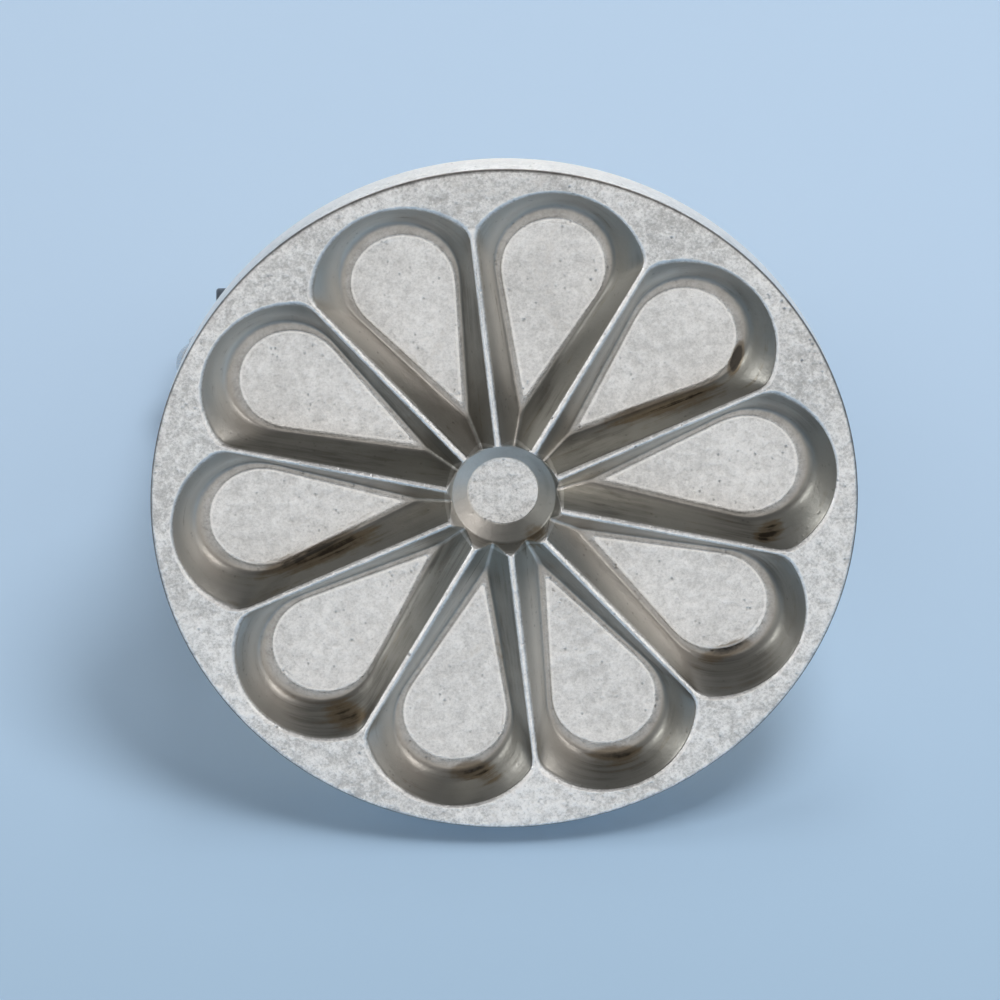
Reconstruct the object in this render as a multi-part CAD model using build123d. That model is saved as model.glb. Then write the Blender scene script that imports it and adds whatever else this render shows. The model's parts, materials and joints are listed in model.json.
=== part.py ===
from build123d import *
from math import acos, asin, atan2, cos, degrees, hypot, radians, sin, tan
import os

# A hand press for cookies: a round cast aluminium mould plate with ten petal cavities
# round a small recess, and behind it a turned wooden bar grip on a bent steel bracket.
# All sizes are in millimetres. The pieces are drawn in the press's own frame: the origin
# is the middle of the moulding face, x runs along the grip, y up the face and z straight
# out of the face. At the end they are leaned back on the table, as the press lies there.

# Mould plate
face_radius = 55.0
plate_depth = 8.0
side_draft = 6.5
face_edge_radius = 0.6
back_edge_radius = 1.0
bead_width = 4.0
bead_height = 0.6

# Petal cavities
petal_count = 10
petal_turn = 5.8
cavity_depth = 4.9
rim_land = 3.2
shoulder_land = 10.4
ridge_width = 0.9
end_wall_run = 6.0
side_wall_run = 3.4
floor_point_radius = 14.0
cove_height = 1.0
cove_run = 1.6

# Centre recess
recess_radius = 9.5
recess_ring_radius = 9.0
recess_ring_depth = 2.6
recess_floor_radius = 5.6
recess_depth = 4.45

# Bosses and rib behind the plate
boss_radius = 7.5
boss_height = 4.0
boss_draft = 3.0
boss_spacing = 56.0
rib_width = 5.0
rib_height = 2.6

# Bracket, bent from flat strap
strap_thickness = 2.5
strap_width = 24.0
bend_radius = 4.0
leg_spacing = 84.0
hole_clearance = 0.15

# Grip
grip_distance = 61.0
grip_radius = 14.0
grip_end_radius = 12.8
grip_straight_length = 56.0
grip_edge_radius = 2.0
grip_end_float = 0.1

# Rod, and the bushes that the grip turns on
rod_radius = 3.0
thread_radius = 2.5
running_clearance = 0.05
thread_clearance = 0.05
bush_wall = 2.0
bush_length = 10.0
bush_flange_radius = 8.0
bush_flange_thickness = 0.8
core_clearance = 1.0

# Washers and cap nuts on the rod
washer_radius = 5.0
washer_thickness = 1.0
nut_across_flats = 8.0
nut_hex_height = 3.4
nut_dome_height = 2.1
nut_end_wall = 1.6

# Screws that hold the bracket, with their lock washers
screw_radius = 2.0
screw_grip_length = 4.6
screw_end_room = 0.6
screw_head_radius = 4.0
screw_head_height = 2.6
screw_head_edge = 1.1
cross_length = 4.2
cross_width = 0.9
cross_depth = 1.5
lock_washer_radius = 3.6
lock_washer_thickness = 0.9
lock_washer_gap = 0.5

# Places that follow from the sizes above
half_sector = radians(180.0 / petal_count)
back_panel = plate_depth - bead_height
strap_front = back_panel + boss_height
strap_back = strap_front + strap_thickness
leg_inner = leg_spacing / 2
leg_outer = leg_inner + strap_thickness
leg_end_radius = strap_width / 2
boss_places = [(-boss_spacing / 2, "left"), (boss_spacing / 2, "right")]
grip_sides = [(-1, "left"), (1, "right")]


def ring(outer, inner, start, end):
    """A flat ring or tube along x, from start to end."""
    profile = Plane.XY * Pos((start + end) / 2, (outer + inner) / 2) * Rectangle(
        abs(end - start), outer - inner
    )
    return revolve(profile, Axis.X)


def at_grip(piece, side):
    """Carries a piece drawn along +x to the grip's axis, mirrored for the left side."""
    if side < 0:
        piece = mirror(piece, about=Plane.YZ)
    return Pos(0, 0, -grip_distance) * piece


def petal_outline(apex, corner, tip, depth):
    """A petal's outline at one depth: from a point out to two corners, joined by an arc."""
    left, right = (corner[0], corner[1]), (corner[0], -corner[1])
    edges = [
        Line((apex, 0), right),
        ThreePointArc(right, (tip, 0), left),
        Line(left, (apex, 0)),
    ]
    return Pos(0, 0, -depth) * make_face(edges)


def teardrop(apex, end_radius, centre, depth):
    """An outline with its point at apex and straight sides tangent to a round end."""
    swing = asin(end_radius / (centre - apex))
    corner = (centre - end_radius * sin(swing), end_radius * cos(swing))
    return petal_outline(apex, corner, centre + end_radius, depth)


def petal_cutter():
    """One petal cavity, pointing along +x: a steep wall, then a cove, then a flat floor."""
    top_apex = ridge_width / 2 / sin(half_sector)
    shoulder = face_radius - shoulder_land - top_apex
    corner = (top_apex + shoulder * cos(half_sector), shoulder * sin(half_sector))
    top = petal_outline(top_apex, corner, face_radius - rim_land, 0)

    floor_end = face_radius - rim_land - end_wall_run
    half_width = floor_end * sin(half_sector) - ridge_width / 2 - side_wall_run
    floor_radius = half_width / (1 + sin(half_sector))
    floor_centre = floor_end - floor_radius
    floor = teardrop(floor_point_radius, floor_radius, floor_centre, cavity_depth)

    knee_depth = cavity_depth - cove_height
    valley = (floor_point_radius - top_apex) / cavity_depth
    knee_apex = top_apex + valley * knee_depth
    knee = teardrop(knee_apex, floor_radius + cove_run, floor_centre, knee_depth)
    return loft([top, knee, floor], ruled=True)


def recess_cutter():
    """The round recess in the middle: a short steep ring, then a cone to a flat floor."""
    outline = Polyline(
        (0, 0),
        (recess_radius, 0),
        (recess_ring_radius, -recess_ring_depth),
        (recess_floor_radius, -recess_depth),
        (0, -recess_depth),
        close=True,
    )
    return revolve(Plane.XZ * make_face(outline), Axis.Z)


def plate_blank():
    """The plate without its cavities, with a drafted side and a low bead round its back."""
    back_radius = face_radius - plate_depth * tan(radians(side_draft))
    bead_inner = back_radius - bead_width
    outline = Polyline(
        (0, 0),
        (face_radius, 0),
        (back_radius, -plate_depth),
        (bead_inner, -plate_depth),
        (bead_inner - bead_height, -back_panel),
        (0, -back_panel),
        close=True,
    )
    profile = make_face(outline)
    face_corner = profile.vertices().sort_by_distance((face_radius, 0))[0]
    profile = fillet(face_corner, face_edge_radius)
    back_corner = profile.vertices().sort_by_distance((back_radius, -plate_depth))[0]
    profile = fillet(back_corner, back_edge_radius)
    return revolve(Plane.XZ * profile, Axis.Z)


def press_head():
    """The cast plate, with its cavities, and with bosses and a rib behind it."""
    head = plate_blank()
    root_radius = boss_radius + boss_height * tan(radians(boss_draft))
    boss_middle = -(back_panel + strap_front) / 2
    for x, _ in boss_places:
        head += Pos(x, 0, boss_middle) * Cone(boss_radius, root_radius, boss_height)
    head += Pos(0, 0, -back_panel - rib_height / 2) * Box(boss_spacing, rib_width, rib_height)
    head -= recess_cutter()
    petal = petal_cutter()
    for number in range(petal_count):
        head -= Rot(0, 0, petal_turn + number * 360.0 / petal_count) * petal
    hole_depth = screw_grip_length + screw_end_room
    for x, _ in boss_places:
        place = Pos(x, 0, -strap_front + hole_depth / 2)
        head -= place * Cylinder(screw_radius + thread_clearance, hole_depth)
    return head


def handle_bracket():
    """A U of flat strap: its base is screwed to the bosses, its legs hold the rod."""
    reach = grip_distance + leg_end_radius
    outer = Plane.XZ * Pos(0, -(strap_front + reach) / 2) * Rectangle(
        2 * leg_outer, reach - strap_front
    )
    inner = Plane.XZ * Pos(0, -(strap_back + reach) / 2) * Rectangle(
        leg_spacing, reach - strap_back
    )
    outer = fillet(outer.vertices().group_by(Axis.Z)[-1], bend_radius + strap_thickness)
    inner = fillet(inner.vertices().group_by(Axis.Z)[-1], bend_radius)
    strap = extrude(outer - inner, strap_width / 2, both=True)

    leg_length = grip_distance - strap_front
    leg_side = Box(2 * leg_outer, strap_width, leg_length)
    leg_side = Pos(0, 0, -(strap_front + grip_distance) / 2) * leg_side
    along_grip = Pos(0, 0, -grip_distance) * Rot(0, 90, 0)
    leg_side += along_grip * Cylinder(leg_end_radius, 2 * leg_outer)
    strap &= leg_side

    strap -= along_grip * Cylinder(thread_radius + hole_clearance, 2 * leg_outer)
    for x, _ in boss_places:
        place = Pos(x, 0, -(strap_front + strap_back) / 2)
        strap -= place * Cylinder(screw_radius + hole_clearance, strap_thickness)
    return strap


def grip():
    """The turned bar: straight in the middle, slimmer at its ends, bored for the bushes."""
    half = leg_inner - grip_end_float - bush_flange_thickness
    straight = grip_straight_length / 2
    bush_bore = rod_radius + running_clearance + bush_wall
    core_bore = rod_radius + core_clearance
    outline = Polyline(
        (-half, bush_bore),
        (-half, grip_end_radius),
        (-straight, grip_radius),
        (straight, grip_radius),
        (half, grip_end_radius),
        (half, bush_bore),
        (half - bush_length, bush_bore),
        (half - bush_length, core_bore),
        (-half + bush_length, core_bore),
        (-half + bush_length, bush_bore),
        close=True,
    )
    profile = make_face(outline)
    ends = [
        profile.vertices().sort_by_distance((x, grip_end_radius))[0] for x in (-half, half)
    ]
    return at_grip(revolve(fillet(ends, grip_edge_radius), Axis.X), 1)


def bushing(side):
    """A flanged bush pressed into one end of the grip."""
    flange_face = leg_inner - grip_end_float
    seat = flange_face - bush_flange_thickness
    bore = rod_radius + running_clearance
    bush = ring(bore + bush_wall, bore, seat - bush_length, seat)
    bush += ring(bush_flange_radius, bore, seat, flange_face)
    return at_grip(bush, side)


def grip_rod():
    """The rod: its shoulders stand against the legs, its slimmer ends are threaded."""
    thread_end = leg_outer + washer_thickness + nut_hex_height + nut_dome_height - nut_end_wall
    along_x = Rot(0, 90, 0)
    rod = along_x * Cylinder(rod_radius, leg_spacing)
    rod += along_x * Cylinder(thread_radius, 2 * (thread_end - thread_clearance))
    return at_grip(rod, 1)


def washer(side):
    """A flat washer between a leg and its cap nut."""
    inner = thread_radius + hole_clearance
    return at_grip(ring(washer_radius, inner, leg_outer, leg_outer + washer_thickness), side)


def cap_nut(side):
    """A low domed nut: a hexagon with bevelled corners under a round dome."""
    seat = leg_outer + washer_thickness
    flat_radius = nut_across_flats / 2
    corner_radius = flat_radius / cos(radians(30))
    bevel = corner_radius - flat_radius
    top = seat + nut_hex_height
    hexagon = Plane.YZ.offset(seat) * RegularPolygon(flat_radius, 6, major_radius=False)
    nut = extrude(hexagon, nut_hex_height)
    turned = Polyline(
        (seat, 0),
        (seat, flat_radius),
        (seat + bevel, corner_radius),
        (top - bevel, corner_radius),
        (top, flat_radius),
        (top, 0),
        close=True,
    )
    nut &= revolve(make_face(turned), Axis.X)

    dome_radius = flat_radius - bevel
    sphere_radius = (dome_radius**2 + nut_dome_height**2) / (2 * nut_dome_height)
    sphere_middle = top + nut_dome_height - sphere_radius
    half_way = asin(dome_radius / sphere_radius) / 2
    shoulder = sphere_middle + sphere_radius * cos(half_way)
    dome = make_face(
        [
            Line((top, 0), (top, dome_radius)),
            ThreePointArc(
                (top, dome_radius),
                (shoulder, sphere_radius * sin(half_way)),
                (top + nut_dome_height, 0),
            ),
            Line((top + nut_dome_height, 0), (top, 0)),
        ]
    )
    nut += revolve(dome, Axis.X)
    bore_end = top + nut_dome_height - nut_end_wall
    nut -= ring(thread_radius + thread_clearance, 0, seat, bore_end)
    return at_grip(nut, side)


def bracket_screw(x):
    """A pan head screw through the bracket's base into a boss, with a cross recess."""
    head_seat = strap_back + lock_washer_thickness
    shank_end = strap_front - screw_grip_length
    shank_length = head_seat - shank_end
    screw = Pos(0, 0, -(shank_end + head_seat) / 2) * Cylinder(screw_radius, shank_length)
    head = Cylinder(screw_head_radius, screw_head_height)
    head = fillet(head.edges().group_by(Axis.Z)[0], screw_head_edge)
    screw += Pos(0, 0, -head_seat - screw_head_height / 2) * head
    slot = Box(cross_length, cross_width, cross_depth)
    cross = slot + Rot(0, 0, 90) * slot
    screw -= Pos(0, 0, -head_seat - screw_head_height + cross_depth / 2) * cross
    return Pos(x, 0, 0) * screw


def lock_washer(x):
    """A split spring washer, pressed flat under a screw's head."""
    inner = screw_radius + hole_clearance
    washer_ring = Cylinder(lock_washer_radius, lock_washer_thickness)
    washer_ring -= Cylinder(inner, lock_washer_thickness)
    gap = Box(lock_washer_radius, lock_washer_gap, 2 * lock_washer_thickness)
    washer_ring -= Pos(lock_washer_radius / 2 + inner / 2, 0, 0) * Rot(30, 0, 0) * gap
    return Pos(x, 0, -strap_back - lock_washer_thickness / 2) * washer_ring


def leaned_back():
    """Leans the press back until the plate's back edge and the grip both touch the table."""
    draft = radians(side_draft)
    inset = plate_depth - back_edge_radius
    edge_up = face_radius - inset * tan(draft) - back_edge_radius / cos(draft)
    edge_back = grip_distance - inset
    reach = hypot(edge_up, edge_back)
    lean = acos((grip_radius - back_edge_radius) / reach) - atan2(edge_back, edge_up)
    height = grip_distance * sin(lean) + grip_radius
    return lean, height


parts = {"press_head": press_head(), "handle_bracket": handle_bracket()}
parts["grip"] = grip()
parts["grip_rod"] = grip_rod()
for side, name in grip_sides:
    parts[f"bushing_{name}"] = bushing(side)
    parts[f"washer_{name}"] = washer(side)
    parts[f"cap_nut_{name}"] = cap_nut(side)
for x, name in boss_places:
    parts[f"bracket_screw_{name}"] = bracket_screw(x)
    parts[f"lock_washer_{name}"] = lock_washer(x)

lean, height = leaned_back()
stance = Pos(0, 0, height) * Rot(90 - degrees(lean), 0, 0)
plate_front = (stance * parts["press_head"]).bounding_box().min.Y
grip_back = (stance * parts["grip"]).bounding_box().max.Y
stance = Pos(0, -(plate_front + grip_back) / 2, 0) * stance

os.makedirs("parts", exist_ok=True)
for name, piece in parts.items():
    export_step(stance * piece, f"parts/{name}.step")
print("lean", round(degrees(lean), 3), "height of the face's middle", round(height, 3))
print("middle of the face", stance.position)
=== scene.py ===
# %% [markdown]
# # A hand press for cookies
# The object is a round mould plate, cast in aluminium, with ten petal cavities round a
# small recess. Behind it a turned wooden bar sits between the legs of a bent steel
# bracket, and the press lies on the table on its rim and on that bar.
# The frame already holds every piece at its real size. This lesson gives each one its
# finish, and rebuilds the pieces whose edges and curves a plain solid can't show.

# %% Load the frame
import bisect
import json
import math

import bmesh
import bpy
from mathutils import Matrix, Vector


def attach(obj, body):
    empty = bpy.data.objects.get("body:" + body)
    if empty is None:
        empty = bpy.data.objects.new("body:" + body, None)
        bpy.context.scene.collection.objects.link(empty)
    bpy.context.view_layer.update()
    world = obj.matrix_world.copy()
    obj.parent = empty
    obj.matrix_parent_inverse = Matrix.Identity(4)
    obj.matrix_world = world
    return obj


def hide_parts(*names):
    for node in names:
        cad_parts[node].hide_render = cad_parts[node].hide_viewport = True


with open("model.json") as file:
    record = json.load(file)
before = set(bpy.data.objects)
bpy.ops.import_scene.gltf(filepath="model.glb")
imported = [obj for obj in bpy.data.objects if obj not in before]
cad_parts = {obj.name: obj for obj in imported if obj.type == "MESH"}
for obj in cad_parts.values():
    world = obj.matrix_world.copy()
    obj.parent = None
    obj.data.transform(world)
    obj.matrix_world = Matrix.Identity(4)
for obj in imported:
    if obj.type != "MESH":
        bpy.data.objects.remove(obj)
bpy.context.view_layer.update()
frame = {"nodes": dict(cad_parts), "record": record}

# %% [markdown]
# ## The press's own frame
# The plate leans back, so its petals are awkward to draw in the table's frame. It is
# easier to draw them flat, with x along the grip, y up the face and z straight out of
# the face, and to lean the finished mesh back at the end. The mount on the face says
# where the face is and which way it looks, so the matrix is read from the record.

# %% The matrix that leans a flat drawing back
MM = 0.001
face_mount = next(m for m in frame["record"]["mounts"] if m["name"] == "press_face")
out_of_face = Vector(face_mount["axis"]).normalized()
along_grip = Vector((1, 0, 0))
up_face = out_of_face.cross(along_grip)
face_middle = Vector(face_mount["pos_m"])
face_middle.x = 0.0
leaned = Matrix((along_grip, up_face, out_of_face)).transposed().to_4x4()
leaned.translation = face_middle
face_tilt = math.asin(out_of_face.z)
print("face leans back", round(math.degrees(face_tilt), 2), "degrees from upright")


def add_object(name, mesh):
    """Puts a mesh in the scene as an object at the origin."""
    made = bpy.data.objects.new(name, mesh)
    bpy.context.scene.collection.objects.link(made)
    return made


def plain_mesh(name, made):
    """Turns a bmesh into a plain mesh, and frees it."""
    mesh = bpy.data.meshes.new(name)
    made.to_mesh(mesh)
    made.free()
    return mesh


# %% [markdown]
# ## One petal, as a set of outlines
# A petal cavity is a stack of outlines, one for each depth: two straight sides along
# the ridges and a round end near the rim. On the real casting the top edge is slightly
# rounded, the wall is steep, a wide cove leads to a narrow moat, and the floor is a low
# panel with a crisp edge. Each of those is one outline in a short list, and the outlines
# between them are blended. Rings that follow the outlines keep every highlight smooth,
# which a square grid of the same size can't do.

# %% Sizes of the mould plate, in millimetres
petal_count = 10
petal_turn = math.radians(5.8)
half_sector = math.pi / petal_count
face_radius = 55.0
plate_depth = 8.0
side_draft = math.radians(6.5)
face_edge = 0.6
back_edge = 1.0
bead_width = 4.0
bead_height = 0.6

cavity_depth = 4.9
rim_land = 3.0
shoulder_land = 9.6
ridge_width = 0.74
end_wall_run = 6.2
side_wall_run = 3.4
floor_point = 14.0
moat_width = 1.6
edge_round = 0.3
panel_rise = 0.11
panel_step = 0.4
valley_radius = 0.35
corner_blend = 1.5

recess_edge = 9.3
recess_radius = 9.05
recess_ring = 8.1
recess_ring_depth = 3.1
recess_floor = 5.35
recess_depth = 4.45

side_steps = 30
arc_steps = 48
nose_steps = 12
line_steps = 60
round_steps = 90
past_end = 12
blend_steps = 4


# %% The outlines of one petal, as short lists of sizes
def polar(radius, angle):
    """The point at a distance and an angle from the middle."""
    return Vector((radius * math.cos(angle), radius * math.sin(angle)))


def teardrop(apex, end_radius, centre, depth):
    """A pointed outline: its point, its corner, its far end and its depth."""
    swing = math.asin(end_radius / (centre - apex))
    corner_x = centre - end_radius * math.sin(swing)
    return (apex, corner_x, end_radius * math.cos(swing), centre + end_radius, depth)


def blend(first, second, part):
    """The outline that lies part of the way from one outline to another."""
    return tuple(a + (b - a) * part for a, b in zip(first, second))


def smooth_rise(low, high, value):
    """0 at low, 1 at high, and a soft step between them. Low may be the larger."""
    t = min(max((value - low) / (high - low), 0), 1)
    return t * t * (3 - 2 * t)


def bend_over(before, corner, after, steps):
    """Outlines that round a corner of the profile instead of turning sharply."""
    made = []
    for step in range(steps + 1):
        t = step / steps
        made.append(blend(blend(before, corner, t), blend(corner, after, t), t))
    return made


tip = face_radius - rim_land
top_apex = ridge_width / 2 / math.sin(half_sector)
shoulder = face_radius - shoulder_land - top_apex
top_edge = (
    top_apex,
    top_apex + shoulder * math.cos(half_sector),
    shoulder * math.sin(half_sector),
    tip,
    0.0,
)
flat_edge = (
    top_apex - edge_round / math.sin(half_sector),
    top_edge[1],
    top_edge[2] + edge_round / math.cos(half_sector),
    tip + edge_round,
    0.0,
)
floor_end = tip - end_wall_run
half_width = floor_end * math.sin(half_sector) - ridge_width / 2 - side_wall_run
floor_radius = half_width / (1 + math.sin(half_sector))
floor_centre = floor_end - floor_radius
panel_depth = cavity_depth - panel_rise


def floor_outline(point, grown, shifted, depth):
    """An outline near the floor, by how its point, radius and middle differ from the floor's."""
    return teardrop(floor_point + point, floor_radius + grown, floor_centre + shifted, depth)


foot = floor_outline(-1.6, moat_width, 1.0, cavity_depth)
moat = floor_outline(0.6, panel_step, 0.05, cavity_depth)
panel_edge = floor_outline(2.2, 0.0, 0.0, panel_depth)
panel_in = floor_outline(4.0, -0.5, 0.0, panel_depth)
print("floor radius", round(floor_radius, 2), "mm round", round(floor_centre, 2), "mm")


# %% The whole profile, from the flat face down to the floor
def nose(outline):
    """Where the rounded point of an outline lies on the petal's middle line."""
    half_angle = math.atan2(outline[2], outline[1] - outline[0])
    return outline[0] + valley_radius * (1 / math.sin(half_angle) - 1)


# A short search for the outline whose point lies just on the recess's edge
first_nose = nose(top_edge)
to_recess = (recess_edge - first_nose) / (nose(foot) - first_nose)
for again in range(4):
    to_recess += (recess_edge - nose(blend(top_edge, foot, to_recess))) / (foot[0] - top_apex)
at_recess = blend(top_edge, foot, to_recess)
edge_rings = bend_over(flat_edge, top_edge, blend(top_edge, foot, 0.13), 7)
profile = edge_rings + [blend(top_edge, foot, t) for t in (0.19, 0.26, 0.34, 0.42, 0.49)]
for short_of in (0.041, 0.028, 0.016, 0.007, 0.002):
    profile.append(blend(top_edge, foot, to_recess - short_of))
profile += [at_recess, blend(top_edge, foot, (to_recess + 0.7) / 2)]
profile += bend_over(blend(top_edge, foot, 0.7), foot, blend(foot, moat, 0.6), 10)
profile += [blend(foot, moat, 0.8)]
profile += bend_over(blend(foot, moat, 0.85), moat, blend(moat, panel_edge, 0.5), 4)
moat_end = len(profile)
profile += bend_over(
    blend(moat, panel_edge, 0.65), panel_edge, blend(panel_edge, panel_in, 0.6), 5
)
profile += [panel_in]
recess_level = profile.index(at_recess)
print(len(profile), "outlines, and the recess cuts off the first", recess_level)

# %% [markdown]
# ## From outlines to a mesh
# Every outline gets the same number of points, so outlines that follow each other join
# into rows of four-sided faces. Near the middle the round recess cuts the shallow
# outlines off, so there a side starts on the recess's circle instead of at its point.

# %% The points along one outline
def dense_half(outline):
    """Closely spaced points from the outline's rounded nose, past its corner, to its end."""
    apex, corner_x, corner_y, far, depth = outline
    start, corner = Vector((apex, 0)), Vector((corner_x, -corner_y))
    along = (corner - start).normalized()
    half_angle = math.atan2(corner_y, corner_x - apex)
    middle = Vector((apex + valley_radius / math.sin(half_angle), 0))
    line = []
    for step in range(nose_steps + 1):
        angle = math.pi + (math.pi / 2 - half_angle) * step / nose_steps
        line.append(middle + polar(valley_radius, angle))
    tangent = start + along * valley_radius / math.tan(half_angle)
    line += [tangent.lerp(corner, step / line_steps) for step in range(1, line_steps + 1)]
    corner_number = len(line) - 1
    centre = (far**2 - corner_x**2 - corner_y**2) / (2 * (far - corner_x))
    sweep = math.atan2(corner_y, corner_x - centre)
    for step in range(1, round_steps + 1):
        angle = -sweep * (1 - step / round_steps)
        line.append(Vector((centre, 0)) + polar(far - centre, angle))
    # A few mirrored points past the end, so that the end can be softened too
    for step in range(1, past_end):
        line.append(Vector((line[-2 * step].x, -line[-2 * step].y)))
    return line, corner_number


def outline_points(outline):
    """One side from the middle to its corner, the round end, and the other side back."""
    line, corner_number = dense_half(outline)
    lengths = [0.0]
    for one, two in zip(line, line[1:]):
        lengths.append(lengths[-1] + (two - one).length)

    def point_at(length):
        """The point that lies a length along the line."""
        length = min(max(length, 0.0), lengths[-1])
        number = min(bisect.bisect_right(lengths, length), len(line) - 1)
        part = (length - lengths[number - 1]) / (lengths[number] - lengths[number - 1])
        return line[number - 1].lerp(line[number], part)

    def softened(length):
        """The same point, averaged with its neighbours so that the corner is soft."""
        reach = corner_blend * smooth_rise(2.5, 6.0, length)
        total = Vector((0, 0))
        for step in range(-blend_steps, blend_steps + 1):
            total += point_at(length + reach * step / blend_steps)
        return total / (2 * blend_steps + 1)

    first = 0.0
    if line[0].length < recess_edge - 0.001:
        number = next(n for n, point in enumerate(line) if point.length > recess_edge)
        one, two = line[number - 1].length, line[number].length
        part = (recess_edge - one) / (two - one)
        first = lengths[number - 1] + part * (lengths[number] - lengths[number - 1])
    corner_at = lengths[corner_number]
    end_at = lengths[corner_number + round_steps]
    half = []
    for step in range(side_steps):
        u = step / side_steps
        half.append(softened(first + (corner_at - first) * u * u * (2 - u)))
    for step in range(arc_steps // 2 + 1):
        half.append(softened(corner_at + (end_at - corner_at) * step / (arc_steps // 2)))
    half[-1].y = 0.0
    other = [Vector((p.x, -p.y)) for p in reversed(half[:-1])]
    return [Vector((p.x, p.y, -outline[4])) for p in half + other]


# %% [markdown]
# ## The flat land round the petal
# The land runs from the petal's edge to the edge of this petal's share of the plate: the
# middle of the ridge on each side, and the rim. It is flat, but it gets a few rows of
# faces all the same, because the casting is slightly wavy and needs points to follow.

# %% The outer edge of one petal's share
def rounded(corners, radii, steps=6):
    """A line through the corners, each turned into an arc of its own radius."""
    points = [Vector(corner) for corner in corners]
    line = [points[0]]
    for before, corner, after, radius in zip(points, points[1:], points[2:], radii):
        back = (before - corner).normalized()
        ahead = (after - corner).normalized()
        half = back.angle(ahead) / 2
        centre = corner + (back + ahead).normalized() * radius / math.sin(half)
        start = corner + back * radius / math.tan(half) - centre
        end = corner + ahead * radius / math.tan(half) - centre
        sweep = start.angle(end)
        for step in range(steps + 1):
            turn = sweep * step / steps
            arm = start * math.sin(sweep - turn) + end * math.sin(turn)
            line.append(centre + arm / math.sin(sweep))
    line.append(points[-1])
    return line


back_radius = face_radius - plate_depth * math.tan(side_draft)
bead_inner = back_radius - bead_width
back_panel = plate_depth - bead_height
rim_profile = rounded(
    [
        (tip, 0),
        (face_radius, 0),
        (back_radius, -plate_depth),
        (bead_inner, -plate_depth),
        (bead_inner - bead_height, -back_panel),
        (0, -back_panel),
    ],
    [face_edge, back_edge, 0.4, 0.6],
)[1:]
land_radius = rim_profile[0].x
corner_steps = 7


def share_edge(outline):
    """For each point of the petal's edge, its partner on the edge of the share."""
    partners = []
    count = len(outline)
    for number, point in enumerate(outline):
        side = -1 if number < count / 2 else 1
        along_arc = min(number, count - 1 - number) - side_steps
        corner_radius = outline[side_steps].to_2d().length
        angle = side * half_sector
        if along_arc < 0:
            radius = point.to_2d().length
        elif along_arc < corner_steps:
            radius = corner_radius + (land_radius - corner_radius) * along_arc / corner_steps
        else:
            radius = land_radius
            middle = arc_steps / 2 - corner_steps
            angle *= 1 - (along_arc - corner_steps) / middle
        partners.append(Vector((*polar(radius, angle), 0)))
    return partners


# %% [markdown]
# ## The recess in the middle
# The recess is a short steep ring and a shallow cone. The ridges and valleys of the
# petals run into it, so its depth at each point is whichever is deeper, the recess or
# the petal, with the edge between them rounded over as it is on the casting.

# %% The depth of the recess
recess_slope = recess_ring_depth / (recess_radius - recess_ring)
recess_profile = rounded(
    [
        (recess_edge + 0.5, (recess_edge + 0.5 - recess_radius) * recess_slope),
        (recess_ring, -recess_ring_depth),
        (recess_floor, -recess_depth),
        (0, -recess_depth),
    ],
    [0.5, 0.5],
    steps=8,
)


def recess_height(radius):
    """The height of the recess's own wall and floor at a radius."""
    for outer, inner in zip(recess_profile, recess_profile[1:]):
        if inner.x <= radius <= outer.x:
            part = (outer.x - radius) / (outer.x - inner.x)
            return outer.y + (inner.y - outer.y) * part
    return -recess_depth


def lower_of(first, second, softness):
    """The lower of two heights, rounded over where they are nearly the same."""
    near = max(softness - abs(first - second), 0) / softness
    return min(first, second) - near * near * softness / 4


def spread(start, end, steps):
    """Evenly spread values from start, not reaching end."""
    return [start + (end - start) * step / steps for step in range(steps)]


# %% One petal's share of the whole plate
sector = bmesh.new()
marks = {}
for mark in ("wall", "foot", "floor", "wear_and_highlight", "rim_line", "side_sheen", "along_wall", "down_wall"):
    marks[mark] = sector.verts.layers.float.new(mark)


def join_rows(made, rows, closed=False):
    """Joins rows of points into four-sided faces. Closed rows are rings."""
    for one, two in zip(rows, rows[1:]):
        for number in range(0 if closed else 1, len(one)):
            made.faces.new((one[number - 1], one[number], two[number], two[number - 1]))


def add_grid(rows):
    """Adds rows of points, each with as many points, to the petal's share."""
    grid = [[sector.verts.new(point) for point in row] for row in rows]
    join_rows(sector, grid)
    print(len(grid), "rows of", len(grid[0]), "points")
    return grid


levels = [outline_points(outline) for outline in profile]
walls = add_grid(levels)
for level, (outline, row) in enumerate(zip(profile, walls)):
    depth = outline[4]
    out_of_panel = outline[2] - panel_edge[2]
    on_wall = smooth_rise(0.15, 0.7, depth) * min(max(out_of_panel / moat_width, 0), 1)
    # The moat at the foot of each wall is marked for painted shade
    moat_shade = smooth_rise(4.3, 4.8, depth) * smooth_rise(0.1, 0.4, out_of_panel)
    # The top edge, and below the moat the floor panel's edge, are marked to be painted bright, partly
    # wear and partly painted highlight
    on_edge = 1 - smooth_rise(0.03, 0.35, depth)
    if level >= moat_end:
        on_edge = 0.7 * (1 - smooth_rise(0.05, 0.3, abs(out_of_panel)))
    along = 0.0
    for before, vert in zip([row[0]] + row, row):
        along += (vert.co - before.co).length
        vert[marks["floor"]] = 1.0 if level >= moat_end else 0.0
        vert[marks["wall"]] = on_wall
        vert[marks["foot"]] = moat_shade
        vert[marks["wear_and_highlight"]] = on_edge
        vert[marks["along_wall"]] = along
        vert[marks["down_wall"]] = depth
print(len(sector.faces), "faces on the petal's walls")

# %% The floor of the petal
inner = levels[-1]
across = 8
last = len(inner) - 1
floor_rows = []
for number in range(len(inner) // 2 + 1):
    floor_rows.append(
        [inner[number].lerp(inner[last - number], step / across) for step in range(across + 1)]
    )
for row in add_grid(floor_rows):
    for vert in row:
        vert[marks["floor"]] = 1.0

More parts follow.
